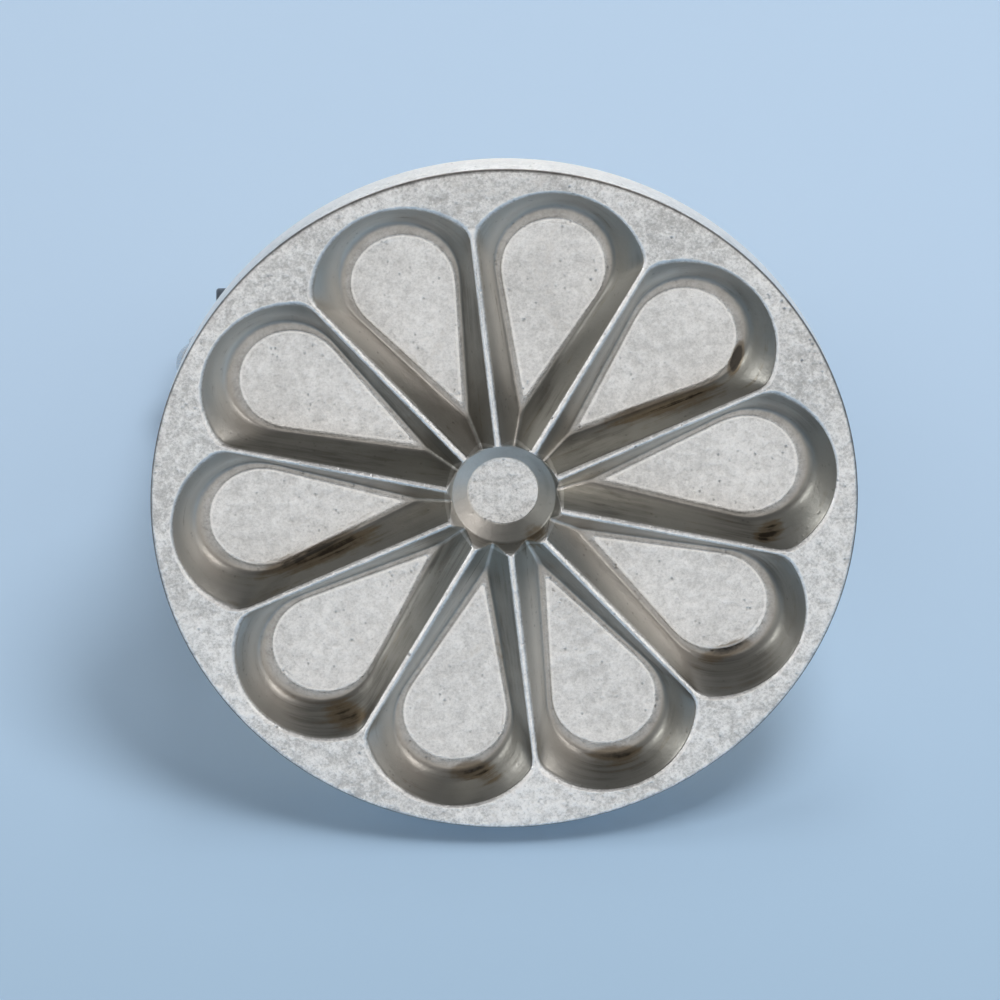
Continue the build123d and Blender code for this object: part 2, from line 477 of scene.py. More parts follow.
# %% The land, from the petal's edge outwards
edge_out = share_edge(levels[0])
land_rows = [levels[0]]
for part in (0.0, 0.3, 0.65, 1.0):
    row = []
    for point, partner in zip(levels[0], edge_out):
        first = min(0.1 / max((partner - point).length, 0.001), 0.15)
        row.append(point.lerp(partner, max(part, first)))
    land_rows.append(row)
for row in add_grid(land_rows):
    for number, vert in enumerate(row):
        on_ridge = min(number, len(row) - 1 - number) < side_steps - 1
        # The ridges are painted bright, partly wear and partly painted highlight
        vert[marks["wear_and_highlight"]] = 0.6 if on_ridge else vert[marks["wear_and_highlight"]]

# %% The rim, the side and the back, as rings of the rim's own profile
rim_start = side_steps + corner_steps
rim_points = edge_out[rim_start : len(edge_out) - rim_start]
bearings = [math.atan2(point.y, point.x) for point in rim_points]
panel_radii = spread(rim_profile[-2].x, 0, 12)[1:] + [0]
rim_line = list(rim_profile[:-1]) + [Vector((radius, -back_panel)) for radius in panel_radii]
rim_grid = add_grid([[(*polar(place.x, b), place.y) for b in bearings] for place in rim_line])
for place, row in zip(rim_line, rim_grid):
    for vert in row:
        near = abs(place.y + face_edge * 0.55) if place.x > land_radius else 1
        vert[marks["rim_line"]] = 1 - smooth_rise(0.1, 0.3, near)
        # The side and back of the plate are marked for a painted pale sheen
        vert[marks["side_sheen"]] = smooth_rise(0.5, 0.9, -place.y)

# %% The wedge of the recess
shallow = levels[: recess_level + 1]
left_edge = [row[0] for row in reversed(land_rows[1:])] + [row[0] for row in shallow]
right_edge = [Vector((p.x, -p.y, p.z)) for p in reversed(left_edge[:-1])]
recess_rim = left_edge + right_edge
# The rows lie close together on the steep ring and at the foot of the cone
ring_end, cone_end, foot_end = 7.8, 6.0, 4.8
radii = spread(recess_edge, ring_end, 24)[1:] + spread(ring_end, cone_end, 7)
radii += spread(cone_end, foot_end, 9) + spread(foot_end, 0, 6) + [0]
recess_rows = [recess_rim]
for radius in radii:
    row = []
    for point in recess_rim:
        bearing = math.atan2(point.y, point.x)
        gap = math.sin(half_sector - abs(bearing))
        at_rim = recess_edge * gap - ridge_width / 2
        here = max(radius * gap - ridge_width / 2, 0)
        petal_height = point.z * here / at_rim if at_rim > 0.05 else point.z
        height = lower_of(petal_height, recess_height(radius), 0.45)
        row.append((*polar(radius, bearing), height))
    recess_rows.append(row)
recess_grid = add_grid(recess_rows)
for radius, row in zip([recess_edge] + radii, recess_grid):
    for vert in row:
        low = smooth_rise(0.4, 1.2, -vert.co.z)
        vert[marks["wall"]] = 0.8 * low * smooth_rise(5.2, 5.8, radius)
        # The recess's edge is painted bright, partly wear and partly painted highlight
        vert[marks["wear_and_highlight"]] = smooth_rise(0.45, 0.1, abs(radius - recess_radius)) * (1 - 0.6 * low)
        vert[marks["along_wall"]] = math.atan2(vert.co.y, vert.co.x) * recess_ring
        vert[marks["down_wall"]] = -vert.co.z

# %% The finished share
bmesh.ops.remove_doubles(sector, verts=sector.verts, dist=0.0005)
sector_mesh = plain_mesh("petal_share", sector)
print(len(sector_mesh.polygons), "faces on one petal's share of the plate")

# %% [markdown]
# ## Ten shares make a plate
# The petals are the same ten times over, so the plate is one share repeated round its
# middle. A Geometry Nodes tree does that: it places a point for each petal, puts the
# share on every point, turned by its number, and joins the seams. Then it moves the
# skin by a few hundredths of a millimetre in slow waves, because a hand-finished casting
# is never quite flat. The sizes are inputs of the tree, so they can be changed later.
# A tree reads best as short calls that each add one node, so the helpers come first.

# %% Small helpers for building node trees
def feed(tree, socket, value):
    """Gives an input a number, a colour, or a link from another node or its output."""
    if isinstance(value, bpy.types.Node):
        value = value.outputs[0]
    if isinstance(value, bpy.types.NodeSocket):
        tree.links.new(value, socket)
    elif value is not None:
        socket.default_value = value


def node(tree, kind, inputs=None, **settings):
    """Adds a node, sets its properties, and feeds its inputs by name or number."""
    made = tree.nodes.new(kind)
    for key, value in settings.items():
        setattr(made, key, value)
    for key, value in (inputs or {}).items():
        feed(tree, made.inputs[key], value)
    return made


def value_of(tree, operation, *values, clamp=False):
    """A Math node whose inputs are numbers or other nodes' outputs."""
    inputs = dict(enumerate(values))
    return node(tree, "ShaderNodeMath", inputs, operation=operation, use_clamp=clamp).outputs[0]


def new_group(kind, name, inputs, outputs):
    """A node group with named inputs and outputs, and the sockets at its two ends."""
    group = bpy.data.node_groups.new(name, kind)
    for direction, wanted in (("INPUT", inputs), ("OUTPUT", outputs)):
        for label, form, value in wanted:
            kind_of_socket = "NodeSocket" + form
            socket = group.interface.new_socket(label, in_out=direction, socket_type=kind_of_socket)
            if value is not None:
                socket.default_value = value
    return group, node(group, "NodeGroupInput").outputs, node(group, "NodeGroupOutput").inputs


# %% The tree that repeats the share
plate_tree, given, result = new_group(
    "GeometryNodeTree",
    "petals_round_a_middle",
    [
        ("Petal share", "Geometry", None),
        ("Petals", "Int", petal_count),
        ("First petal", "Float", petal_turn),
        ("Waviness", "Float", 0.05),
        ("Waves per mm", "Float", 0.07),
        ("Seed", "Float", 4.0),
        ("Finish", "Material", None),
    ],
    [("Plate", "Geometry", None)],
)
number = node(plate_tree, "GeometryNodeInputIndex")
full_turn = value_of(plate_tree, "DIVIDE", 2 * math.pi, given["Petals"])
bearing = value_of(plate_tree, "MULTIPLY_ADD", number, full_turn, given["First petal"])
copies = node(
    plate_tree,
    "GeometryNodeInstanceOnPoints",
    {
        "Points": node(plate_tree, "GeometryNodePoints", {"Count": given["Petals"]}),
        "Instance": given["Petal share"],
        "Rotation": node(plate_tree, "ShaderNodeCombineXYZ", {"Z": bearing}),
    },
)
real = node(plate_tree, "GeometryNodeRealizeInstances", {"Geometry": copies})
joined = node(plate_tree, "GeometryNodeMergeByDistance", {"Geometry": real, "Distance": 0.002})
waves = node(
    plate_tree,
    "ShaderNodeTexNoise",
    {
        "Vector": node(plate_tree, "GeometryNodeInputPosition"),
        "W": given["Seed"],
        "Scale": given["Waves per mm"],
        "Detail": 1.5,
    },
    noise_dimensions="4D",
)
push = value_of(plate_tree, "SUBTRACT", waves, 0.5)
push = value_of(plate_tree, "MULTIPLY", push, given["Waviness"])
normal = node(plate_tree, "GeometryNodeInputNormal")
offset = node(plate_tree, "ShaderNodeVectorMath", {0: normal, "Scale": push}, operation="SCALE")
moved = node(plate_tree, "GeometryNodeSetPosition", {"Geometry": joined, "Offset": offset})
smooth = node(plate_tree, "GeometryNodeSetShadeSmooth", {"Geometry": moved})
painted = node(plate_tree, "GeometryNodeSetMaterial", {"Geometry": smooth, "Material": given["Finish"]})
feed(plate_tree, result["Plate"], painted)
print(len(plate_tree.nodes), "nodes repeat the share")


def plain_copy(shown):
    """The mesh that an object shows with its modifiers run. The object is removed."""
    seen = bpy.context.evaluated_depsgraph_get()
    mesh = bpy.data.meshes.new_from_object(shown.evaluated_get(seen), depsgraph=seen)
    bpy.data.objects.remove(shown)
    return mesh


def grow(mesh, tree, name, values):
    """Runs a tree on a mesh with named values, and gives back the plain mesh it makes."""
    seed_object = add_object(name + "_seed", mesh)
    modifier = seed_object.modifiers.new("tree", "NODES")
    modifier.node_group = tree
    for item in tree.interface.items_tree:
        if item.in_out == "INPUT" and item.name in values:
            modifier[item.identifier] = values[item.name]
    plain = plain_copy(seed_object)
    plain.name = name
    print(name, len(plain.polygons), "faces")
    return plain


# %% [markdown]
# ## Effects that several finishes share
# Bare metal, paint, brass and plating all need the same few things: a blotchy tone, a
# fine grain and a few small pits. One shader group makes them, and each material places
# it with its own scales. The group puts out only values, and the shader itself stays in
# each material.

# %% A blotchy, pitted surface
def noise_of(tree, vector, scale, detail=2.0, roughness=0.5):
    """A noise texture's value."""
    inputs = {"Vector": vector, "Scale": scale, "Detail": detail, "Roughness": roughness}
    return node(tree, "ShaderNodeTexNoise", inputs).outputs[0]


def ramp_of(tree, value, low, high, out_low=0.0, out_high=1.0):
    """A soft step of a value between two limits."""
    inputs = {"Value": value, "From Min": low, "From Max": high, "To Min": out_low, "To Max": out_high}
    return node(tree, "ShaderNodeMapRange", inputs, interpolation_type="SMOOTHSTEP").outputs[0]


cast_surface, given, result = new_group(
    "ShaderNodeTree",
    "cast_surface",
    [
        ("Blotch scale", "Float", 180.0),
        ("Grain scale", "Float", 1600.0),
        ("Pit scale", "Float", 700.0),
        ("Pit share", "Float", 0.25),
    ],
    [("Blotches", "Float", None), ("Grain", "Float", None), ("Pits", "Float", None)],
)
place = node(cast_surface, "ShaderNodeTexCoord").outputs["Object"]
pits = node(
    cast_surface,
    "ShaderNodeTexVoronoi",
    {"Vector": place, "Scale": given["Pit scale"], "Smoothness": 0.35},
    feature="SMOOTH_F1",
)
deep = ramp_of(cast_surface, pits.outputs["Distance"], 0.0, given["Pit share"], 1.0, 0.0)
pick_scale = value_of(cast_surface, "MULTIPLY", given["Pit scale"], 0.4)
picked = ramp_of(cast_surface, noise_of(cast_surface, place, pick_scale), 0.5, 0.68)
for name, value in (
    ("Blotches", noise_of(cast_surface, place, given["Blotch scale"], 4.0, 0.62)),
    ("Grain", noise_of(cast_surface, place, given["Grain scale"], 3.0, 0.7)),
    ("Pits", value_of(cast_surface, "MULTIPLY", deep, picked)),
):
    feed(cast_surface, result[name], value)
print(len(cast_surface.nodes), "nodes make the shared surface")

# %% [markdown]
# ## Bare cast aluminium
# The mould's flats were rubbed down, so they are pale, grainy and a little blotchy, and
# the land round the petals is rougher than the floors. The cavity walls are smoother and
# darker than the flats, partly residue and partly painted shade: walls facing up and to
# the left are painted in shade, those across from them painted lit, and the tops of the
# walls and the moats at their feet are painted darker. Dirt lies on the shaded walls
# only. The ridges and the edges of the floors and the recess are painted bright, partly
# wear and partly painted highlights, and the plate's side and back carry a painted pale
# sheen. The mesh carries those places as attributes, so the colours follow the shape
# from any side.

# %% Small helpers for writing a material
def new_material(name, **uniform):
    """A material with its Principled shader, whose even values are set on its sockets."""
    made = bpy.data.materials.new(name)
    made.use_nodes = True
    shader = made.node_tree.nodes["Principled BSDF"]
    for key, value in uniform.items():
        shader.inputs[key.replace("_", " ")].default_value = value
    return made, made.node_tree, shader


def use_surface(tree, blotch, grain, pit, share):
    """Places the shared surface group in a material with its own values."""
    inputs = {"Blotch scale": blotch, "Grain scale": grain, "Pit scale": pit, "Pit share": share}
    return node(tree, "ShaderNodeGroup", inputs, node_tree=cast_surface).outputs


def mix_of(tree, part, first, second):
    """A mix of two colours, each written out or another node's output."""
    first, second = ((*c, 1.0) if isinstance(c, tuple) else c for c in (first, second))
    return node(tree, "ShaderNodeMix", {0: part, 6: first, 7: second}, data_type="RGBA").outputs[2]


def attribute_of(tree, name):
    """A value that the mesh carries at each of its points."""
    return node(tree, "ShaderNodeAttribute", attribute_name=name).outputs["Fac"]


def dress(tree, shader, colour, rough, *layers):
    """Wires up a shader's colour, roughness and bumps, each a height and its depth in metres."""
    normal = None
    for height, depth in layers:
        inputs = {"Strength": 1.0, "Distance": depth, "Height": height, "Normal": normal}
        normal = node(tree, "ShaderNodeBump", inputs)
    for key, value in (("Base Color", colour), ("Roughness", rough), ("Normal", normal)):
        feed(tree, shader.inputs[key], value)
    print("a finish of", len(tree.nodes), "nodes")


# %% The aluminium's colours
flat_colour = (0.51, 0.503, 0.492)
pale_colour = (0.98, 0.97, 0.955)
# The wall tones are one aluminium painted lit, half-shaded and shaded; the walls' darkness is partly
# residue and partly painted shade
lit_wall_colour = (0.745, 0.715, 0.66)
half_shaded_wall_colour = (0.475, 0.44, 0.395)
shaded_wall_colour = (0.29, 0.287, 0.263)
side_sheen_colour = (1.0, 0.95, 0.88)
wear_and_highlight_colour = (0.98, 0.965, 0.94)
# A near-black used for burnt stains and for the dirt-and-shade patches on the shaded walls
stain_and_shade_colour = (0.03, 0.024, 0.018)
thin_stain_colour = (0.17, 0.125, 0.07)
line_colour = (0.10, 0.095, 0.09)
middle_tone = 1.26

# %% The aluminium
aluminium, tree, shader = new_material("cast_aluminium", Metallic=1.0)
surface = use_surface(tree, blotch=620.0, grain=2200.0, pit=900.0, share=0.3)
place = node(tree, "ShaderNodeTexCoord").outputs["Object"]
carried = {name: attribute_of(tree, name) for name in (*marks, "shade_by_facing", "stain")}
contrast = ramp_of(tree, carried["floor"], 0.0, 1.0, 1.3, 0.8)
tone = value_of(tree, "MULTIPLY_ADD", surface["Grain"], 1.1, surface["Blotches"])
tone = value_of(tree, "MULTIPLY_ADD", noise_of(tree, place, 70.0), 0.45, tone)
tone = value_of(tree, "SUBTRACT", tone, middle_tone)
tone = value_of(tree, "MULTIPLY_ADD", tone, contrast, 0.5)
flats = mix_of(tree, ramp_of(tree, tone, 0.05, 0.9), flat_colour, pale_colour)

# Streaks run along the wall, so they are stretched along it and narrow down it
streak_place = {
    "X": value_of(tree, "MULTIPLY", carried["along_wall"], 0.05),
    "Y": value_of(tree, "MULTIPLY", carried["down_wall"], 1.6),
    "Z": value_of(tree, "MULTIPLY", noise_of(tree, place, 26.0, 0.0), 9.0),
}
streaks = noise_of(tree, node(tree, "ShaderNodeCombineXYZ", streak_place), 1.0, 3.0, 0.6)
# Walls facing up and to the left are painted in shade, broken up a little by the streaks, and walls
# facing the other way are painted lit
shaded_side = value_of(tree, "MULTIPLY_ADD", streaks, 0.3, carried["shade_by_facing"])
shaded_side = ramp_of(tree, shaded_side, 0.05, 0.5)
off_lit_side = ramp_of(tree, carried["shade_by_facing"], -0.65, -0.15)
# The upper part of each wall is painted darker, a painted shade
shade_near_top = ramp_of(tree, carried["down_wall"], 1.0, 3.6, 0.45, 0.0)
walls_now = mix_of(tree, off_lit_side, lit_wall_colour, half_shaded_wall_colour)
walls_now = mix_of(tree, shade_near_top, walls_now, shaded_wall_colour)
walls_now = mix_of(tree, shaded_side, walls_now, shaded_wall_colour)
wall_part = {
    0: shaded_side,
    2: ramp_of(tree, carried["wall"], 0.0, 1.0),
    3: ramp_of(tree, carried["wall"], 0.0, 0.3),
}
is_wall = node(tree, "ShaderNodeMix", wall_part, data_type="FLOAT").outputs[0]
colour = mix_of(tree, is_wall, flats, walls_now)

# %% Its dirt, wear and grain
# Dark dirt patches in the streaks, laid only on the walls painted in shade, so they deepen that painted
# shade too
grime_and_shade = ramp_of(tree, noise_of(tree, place, 48.0, 3.0, 0.6), 0.46, 0.62)
in_streaks = ramp_of(tree, streaks, 0.4, 0.62, 0.35, 1.0)
for part in (in_streaks, shaded_side, ramp_of(tree, carried["wall"], 0.2, 0.9), 0.4):
    grime_and_shade = value_of(tree, "MULTIPLY", grime_and_shade, part, clamp=True)
burnt = value_of(tree, "MULTIPLY_ADD", streaks, 1.5, carried["stain"])
burnt = value_of(tree, "MULTIPLY_ADD", surface["Blotches"], 0.7, burnt)
for mask, tint in (
    # Dirt, and with it painted shade, on the shaded walls
    (grime_and_shade, stain_and_shade_colour),
    (ramp_of(tree, burnt, 1.2, 1.75, 0.0, 0.75), thin_stain_colour),
    (ramp_of(tree, burnt, 1.8, 2.2, 0.0, 0.9), stain_and_shade_colour),
    # Painted shade in the moats
    (value_of(tree, "MULTIPLY", carried["foot"], 0.35), line_colour),
    # Painted highlights and wear on the edges
    (value_of(tree, "MULTIPLY", carried["wear_and_highlight"], 0.55), wear_and_highlight_colour),
    # Painted pale sheen on the side and back of the plate
    (carried["side_sheen"], side_sheen_colour),
    (value_of(tree, "MULTIPLY", carried["rim_line"], 0.85), line_colour),
    (value_of(tree, "MULTIPLY", surface["Pits"], 0.5), line_colour),
):
    colour = mix_of(tree, mask, colour, tint)
rough = 0.34
for mask, change in ((surface["Grain"], 0.25), (is_wall, -0.07), (carried["wear_and_highlight"], -0.1), (grime_and_shade, 0.2)):
    rough = value_of(tree, "MULTIPLY_ADD", mask, change, rough, clamp=True)
grain_height = value_of(tree, "MULTIPLY_ADD", surface["Pits"], -1.5, surface["Grain"])
rough_flat = value_of(tree, "MULTIPLY_ADD", is_wall, -0.8, 1.0)
rough_flat = value_of(tree, "MULTIPLY", rough_flat, contrast)
dress(
    tree,
    shader,
    colour,
    rough,
    (value_of(tree, "MULTIPLY", surface["Blotches"], rough_flat), 0.00017),
    (value_of(tree, "MULTIPLY", grain_height, rough_flat), 0.00008),
)

# %% [markdown]
# ## The plate, leaned back and finished
# The plate has been drawn flat and in millimetres. It is now leaned back and scaled, and
# each point is marked with how much its wall faces up and to the left, the way whose
# walls are painted in shade while the ones across from them are painted lit.

# %% Run the tree
plate_mesh = grow(
    sector_mesh,
    plate_tree,
    "press_head_casting",
    {
        "Petals": petal_count,
        "First petal": petal_turn,
        "Waviness": 0.09,
        "Waves per mm": 0.075,
        "Seed": 4.0,
        "Finish": aluminium,
    },
)


# %% Small helpers for drawn pieces
def turned(line, around=96, closed=False, shaped=None):
    """Turns a line of (along, radius) points round the x axis."""
    made = bmesh.new()
    rings = []
    for along, radius in line:
        ring = []
        for step in range(around):
            angle = 2 * math.pi * step / around
            here = shaped(radius, angle) if shaped else radius
            ring.append(made.verts.new((along, *polar(here, angle))))
        rings.append(ring)
    join_rows(made, rings + rings[:1] if closed else rings, closed=True)
    bmesh.ops.remove_doubles(made, verts=made.verts, dist=0.0005)
    return made


def capped(made, rings):
    """Joins rings into a tube and closes both of its ends."""
    join_rows(made, rings, closed=True)
    made.faces.new(rings[0])
    made.faces.new(rings[-1])
    return made


def stand_up(made, x):
    """Turns a piece drawn along x to stand along z, at a place along the plate."""
    made.transform(Matrix.Translation((x, 0, 0)) @ Matrix.Rotation(math.radians(-90), 4, "Y"))
    return made


def lean_and_scale(made):
    """Takes a bmesh from the press's own frame in millimetres to the table's in metres."""
    # A fold or a mirror leaves old normals behind, and a piece judged by those faces inwards
    made.normal_update()
    bmesh.ops.recalc_face_normals(made, faces=made.faces)
    made.transform(leaned @ Matrix.Scale(MM, 4))


def place_piece(name, mesh, body, slot, material, *nodes):
    """Gives a finished mesh its object, its body and its material. The slot is not used."""
    mesh.shade_smooth()
    mesh.materials.append(material)
    piece = add_object(name, mesh)
    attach(piece, body)
    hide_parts(*nodes)
    print(name, len(mesh.polygons), "faces")
    return piece


def finish_piece(name, made, body, slot, material, *nodes):
    """Makes a drawn piece an object that stands for its CAD nodes."""
    lean_and_scale(made)
    return place_piece(name, plain_mesh(name, made), body, slot, material, *nodes)


# %% Bosses and rib behind the plate, drawn as closed shells that sink into its back
boss_radius = 7.5
boss_height = 4.0
boss_spacing = 56.0
boss_draft = math.radians(3.0)
rib_width = 5.0
rib_height = 2.6
rib_end = 3.0
foot_flare = 2.0
strap_front = back_panel + boss_height
hole_radius = 2.05
hole_depth = 5.2
at_back = -back_panel + 0.02
under_skin = -back_panel + 0.6


def boss(x):
    """One round boss, with a flared foot and a hole for its screw."""
    root = boss_radius + boss_height * math.tan(boss_draft)
    line = rounded(
        [
            (under_skin, 0),
            (under_skin, root + foot_flare),
            (at_back, root + foot_flare),
            (at_back, root),
            (-strap_front, boss_radius),
            (-strap_front, hole_radius),
            (-strap_front + hole_depth, hole_radius),
            (-strap_front + hole_depth, 0),
        ],
        [0.01, 0.01, 1.6, 0.5, 0.2, 0.2],
    )
    return stand_up(turned(line, around=72), x)


def rib():
    """The rib between the bosses: its rounded section, drawn out along x."""
    half = rib_width / 2
    half_side = [
        (half + foot_flare, under_skin),
        (half + foot_flare, at_back),
        (half, at_back),
        (half - 0.3, -back_panel - rib_height),
    ]
    other_side = [(-y, z) for y, z in reversed(half_side)]
    line = rounded(half_side + other_side, [0.01, 1.4, 0.9, 0.9, 1.4, 0.01])
    made = bmesh.new()
    far = boss_spacing / 2 - rib_end
    return capped(made, [[made.verts.new((x, y, z)) for y, z in line] for x in (-far, far)])


# %% Burnt sugar, in the few places where it has stuck: x, y, length, width, turn, strength
stains = [
    (36.3, 21.6, 2.7, 0.85, 71, 1.6),
    (24.0, 13.9, 11.0, 1.2, 18, 0.9),
    (40.9, -7.0, 2.8, 1.2, 30, 1.0),
    (35.0, -27.2, 5.0, 1.1, 20, 0.9),
    (17.0, -44.4, 4.2, 1.6, 5, 0.9),
    (-5.0, -46.8, 3.8, 1.5, 0, 0.8),
    (-24.7, -36.6, 3.8, 2.0, -10, 0.85),
    (-28.6, -9.7, 10.0, 1.3, 21, 0.9),
    (4.8, -7.2, 2.6, 1.6, 40, 0.6),
]


def stain_at(point):
    """How much of a stain a point of the cavities has: 0 outside them all."""
    most = 0.0
    for x, y, long, wide, turn, strength in stains:
        away = Matrix.Rotation(-math.radians(turn), 2) @ Vector((point.x - x, point.y - y))
        part = math.hypot(away.x / long, away.y / wide)
        most = max(most, strength * (1 - smooth_rise(0.3, 1.5, part)))
    return most * smooth_rise(0.5, 1.5, -point.z) * (1 - smooth_rise(5.2, 5.4, -point.z))


# %% The whole plate
plate = bmesh.new()
plate.from_mesh(plate_mesh)
stain_layer = plate.verts.layers.float.new("stain")
for vert in plate.verts:
    vert[stain_layer] = stain_at(vert.co)
for part in (boss(-boss_spacing / 2), boss(boss_spacing / 2), rib()):
    bmesh.ops.recalc_face_normals(part, faces=part.faces)
    plate.from_mesh(plain_mesh("behind_the_plate", part))
lean_and_scale(plate)
# How much each point faces up and to the left, the way that is painted in shade
facing_shade_layer = plate.verts.layers.float.new("shade_by_facing")
shaded_facing = Matrix.Rotation(math.radians(150), 3, out_of_face) @ along_grip
plate.normal_update()
for vert in plate.verts:
    vert[facing_shade_layer] = vert.normal.dot(shaded_facing)
head_mesh = plain_mesh("press_head_casting", plate)
place_piece("press_head_casting", head_mesh, "press", "cast_aluminium", aluminium, "press_head")
for polygon in head_mesh.polygons:
    polygon.material_index = 0

# %% [markdown]
# ## Satin black paint on bent steel
# The bracket is cut from flat strap and painted, and the paint has rubbed through in
# specks along its edges. It is drawn the way it is made: a flat outline with its holes
# and softened edges first, which is then folded up at two lines. The flat drawing stays
# on the piece as its UV map, so the paint knows how far it is from an edge.

# %% The strap's sizes
strap_thickness = 2.5
strap_width = 24.0
bend_radius = 4.0
leg_spacing = 84.0
grip_distance = 61.0
strap_edge = 0.45
rod_hole = 2.65
screw_hole = 2.15
leg_middle = leg_spacing / 2 + strap_thickness / 2
base_middle = strap_front + strap_thickness / 2
fold_radius = bend_radius + strap_thickness / 2
fold_start = leg_middle - fold_radius
fold_end = fold_start + fold_radius * math.pi / 2
hole_at = fold_end + grip_distance - base_middle - fold_radius
strap_steps = 40
fold_steps = 14
flat_cuts = [14.0, 34.0, 66.0]

# %% Black paint
paint, tree, shader = new_material("black_paint", Metallic=0.0, Specular_IOR_Level=0.25)
surface = use_surface(tree, blotch=140.0, grain=900.0, pit=500.0, share=0.2)
flat_place = node(tree, "ShaderNodeUVMap", uv_map="flat_strap")
across = node(tree, "ShaderNodeSeparateXYZ", {0: flat_place}).outputs["Y"]
from_edge = value_of(tree, "SUBTRACT", strap_width / 2, value_of(tree, "ABSOLUTE", across))
chip_edge = value_of(tree, "MULTIPLY_ADD", surface["Grain"], 1.6, -0.98)
bare = ramp_of(tree, value_of(tree, "SUBTRACT", chip_edge, from_edge), -0.02, 0.12)
blotches = ramp_of(tree, surface["Blotches"], 0.3, 0.7)
colour = mix_of(tree, blotches, (0.012, 0.012, 0.013), (0.022, 0.022, 0.024))
colour = mix_of(tree, bare, colour, (0.36, 0.35, 0.34))
rough = ramp_of(tree, surface["Grain"], 0.2, 0.8, 0.28, 0.42)
paint_height = value_of(tree, "SUBTRACT", 1.0, bare)
dress(tree, shader, colour, rough, (surface["Grain"], 0.00005), (paint_height, 0.00006))
feed(tree, shader.inputs["Metallic"], bare)

# %% The strap, flat and then folded
def strap_outline():
    """The flat strap with round ends and its four holes, as a filled curve."""
    drawn = bpy.data.curves.new("flat_strap", "CURVE")
    drawn.dimensions = "2D"
    drawn.fill_mode = "BOTH"
    ends = []
    for side in (1, -1):
        for step in range(strap_steps + 1):
            end = polar(strap_width / 2, math.radians(-90 + 180 * step / strap_steps))
            ends.append(side * (Vector((hole_at, 0)) + end))
    loops = [ends]
    for at, radius in ((hole_at, rod_hole), (boss_spacing / 2, screw_hole)):
        for middle in (Vector((-at, 0)), Vector((at, 0))):
            angles = spread(0, 2 * math.pi, strap_steps)
            loops.append([middle + polar(radius, angle) for angle in angles])
    for loop in loops:
        spline = drawn.splines.new("POLY")
        spline.points.add(len(loop) - 1)
        for point, (x, y) in zip(spline.points, loop):
            point.co = (x, y, 0, 1)
        spline.use_cyclic_u = True
    drawn.extrude = strap_thickness / 2 - strap_edge
    drawn.bevel_depth = strap_edge
    drawn.bevel_resolution = 3
    drawn.offset = -strap_edge
    return plain_copy(add_object("flat_strap", drawn))


def fold(co):
    """Where a point of the flat strap lies once both legs are folded up."""
    side = -1 if co.x < 0 else 1
    along, inward = abs(co.x), co.z
    if along < fold_start:
        return Vector((co.x, co.y, -base_middle - inward))
    if along < fold_end:
        angle = (along - fold_start) / fold_radius
        reach = fold_radius - inward
        x = fold_start + reach * math.sin(angle)
        return Vector((side * x, co.y, -base_middle - fold_radius + reach * math.cos(angle)))
    return Vector((side * (leg_middle - inward), co.y, -base_middle - fold_radius - along + fold_end))


strap = bmesh.new()
strap.from_mesh(strap_outline())
bmesh.ops.remove_doubles(strap, verts=strap.verts, dist=0.0005)
# The folds get a row of points at each step, and the flat stretches a few rows
cuts = [fold_start + (fold_end - fold_start) * step / fold_steps for step in range(fold_steps + 1)]
for cut in cuts + flat_cuts:
    for side in (-1, 1):
        geometry = strap.verts[:] + strap.edges[:] + strap.faces[:]
        bmesh.ops.bisect_plane(strap, geom=geometry, plane_co=(side * cut, 0, 0), plane_no=(1, 0, 0))
flat_layer = strap.loops.layers.uv.new("flat_strap")
for face in strap.faces:
    for loop in face.loops:
        loop[flat_layer].uv = loop.vert.co.xy
for vert in strap.verts:
    vert.co = fold(vert.co)
bracket = finish_piece("bracket_strap", strap, "press", "black_paint", paint, "handle_bracket")
bracket.modifiers.new("flat faces stay flat", "WEIGHTED_NORMAL")

# %% [markdown]
# ## The turned grip
# The grip is a pale hardwood bar, turned on a lathe and varnished, a little slimmer at
# its ends. Its grain runs along the bar, so the textures are stretched along x, and its
# growth rings are cylinders round a heart that lies outside the bar.

# %% Wood
grip_axis = leaned @ Vector((0, 0, -grip_distance * MM))
wood, tree, shader = new_material("turned_wood", Metallic=0.0, Coat_Weight=0.35, Coat_Roughness=0.22)
place = node(tree, "ShaderNodeTexCoord").outputs["Object"]


def stretched(along, across, shift=(0.0, 0.0, 0.0)):
    """Object coordinates moved to the grip's axis and squeezed along the grain."""
    scale = Vector((along, across, across))
    inputs = {"Vector": place, "Scale": scale, "Location": Vector(shift) - grip_axis * scale}
    return node(tree, "ShaderNodeMapping", inputs, vector_type="POINT")


from_heart = {0: stretched(0.05, 1.0, (0.0, 0.031, -0.012))}
from_heart = node(tree, "ShaderNodeVectorMath", from_heart, operation="LENGTH").outputs["Value"]
rings = value_of(tree, "MULTIPLY", from_heart, 420.0)
rings = value_of(tree, "MULTIPLY_ADD", noise_of(tree, stretched(6.0, 60.0), 1.0), 1.6, rings)
late_wood = ramp_of(tree, value_of(tree, "FRACT", rings), 0.55, 0.98)
fibres = noise_of(tree, stretched(22.0, 1500.0), 1.0, 3.0, 0.6)
flecks = ramp_of(tree, noise_of(tree, stretched(160.0, 2600.0), 1.0, 1.0), 0.62, 0.72)
colour = mix_of(tree, late_wood, (0.69, 0.50, 0.31), (0.55, 0.36, 0.19))
colour = mix_of(tree, ramp_of(tree, fibres, 0.3, 0.75, 0.0, 0.5), colour, (0.76, 0.58, 0.38))
colour = mix_of(tree, value_of(tree, "MULTIPLY", flecks, 0.5), colour, (0.36, 0.2, 0.095))
rough = ramp_of(tree, fibres, 0.2, 0.8, 0.38, 0.52)
fleck_height = value_of(tree, "SUBTRACT", 1.0, flecks)
dress(tree, shader, colour, rough, (fibres, 0.00003), (fleck_height, 0.00003))

